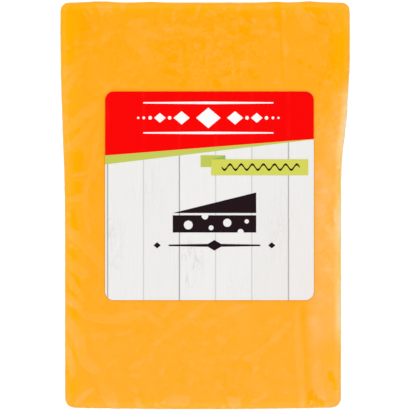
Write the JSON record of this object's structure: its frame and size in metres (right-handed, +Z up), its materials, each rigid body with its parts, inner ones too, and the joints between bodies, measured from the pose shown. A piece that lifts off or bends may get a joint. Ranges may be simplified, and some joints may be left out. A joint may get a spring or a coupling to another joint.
{
  "type": "cheddar block",
  "caption": "Block of red cheddar shrunk tight in clear film, a low rounded slab with folded film seals on both ends and a square paper label on its upper face.",
  "frame": {"origin": "middle of the outline on the flat face that the block rests on", "axes": "+X to the label's right, +Y to the label's head, +Z up out of the label"},
  "size_m": [0.1044, 0.147, 0.0302],
  "materials": {
    "cheddar": "orange cheddar, smooth and slightly moist, with paler patches where the film stands off it",
    "clear_film": "clear glossy shrink film with fine tucks",
    "label_paper": "semi-gloss paper printed with pale boards",
    "print_red": "semi-gloss red ink",
    "print_green": "semi-gloss yellow-green ink",
    "print_white": "bare white paper",
    "print_dark": "semi-gloss brown-black ink"
  },
  "bodies": {
    "root": {"vacuum_pack": "cheddar", "label": "label_paper"}
  },
  "joints": []
}
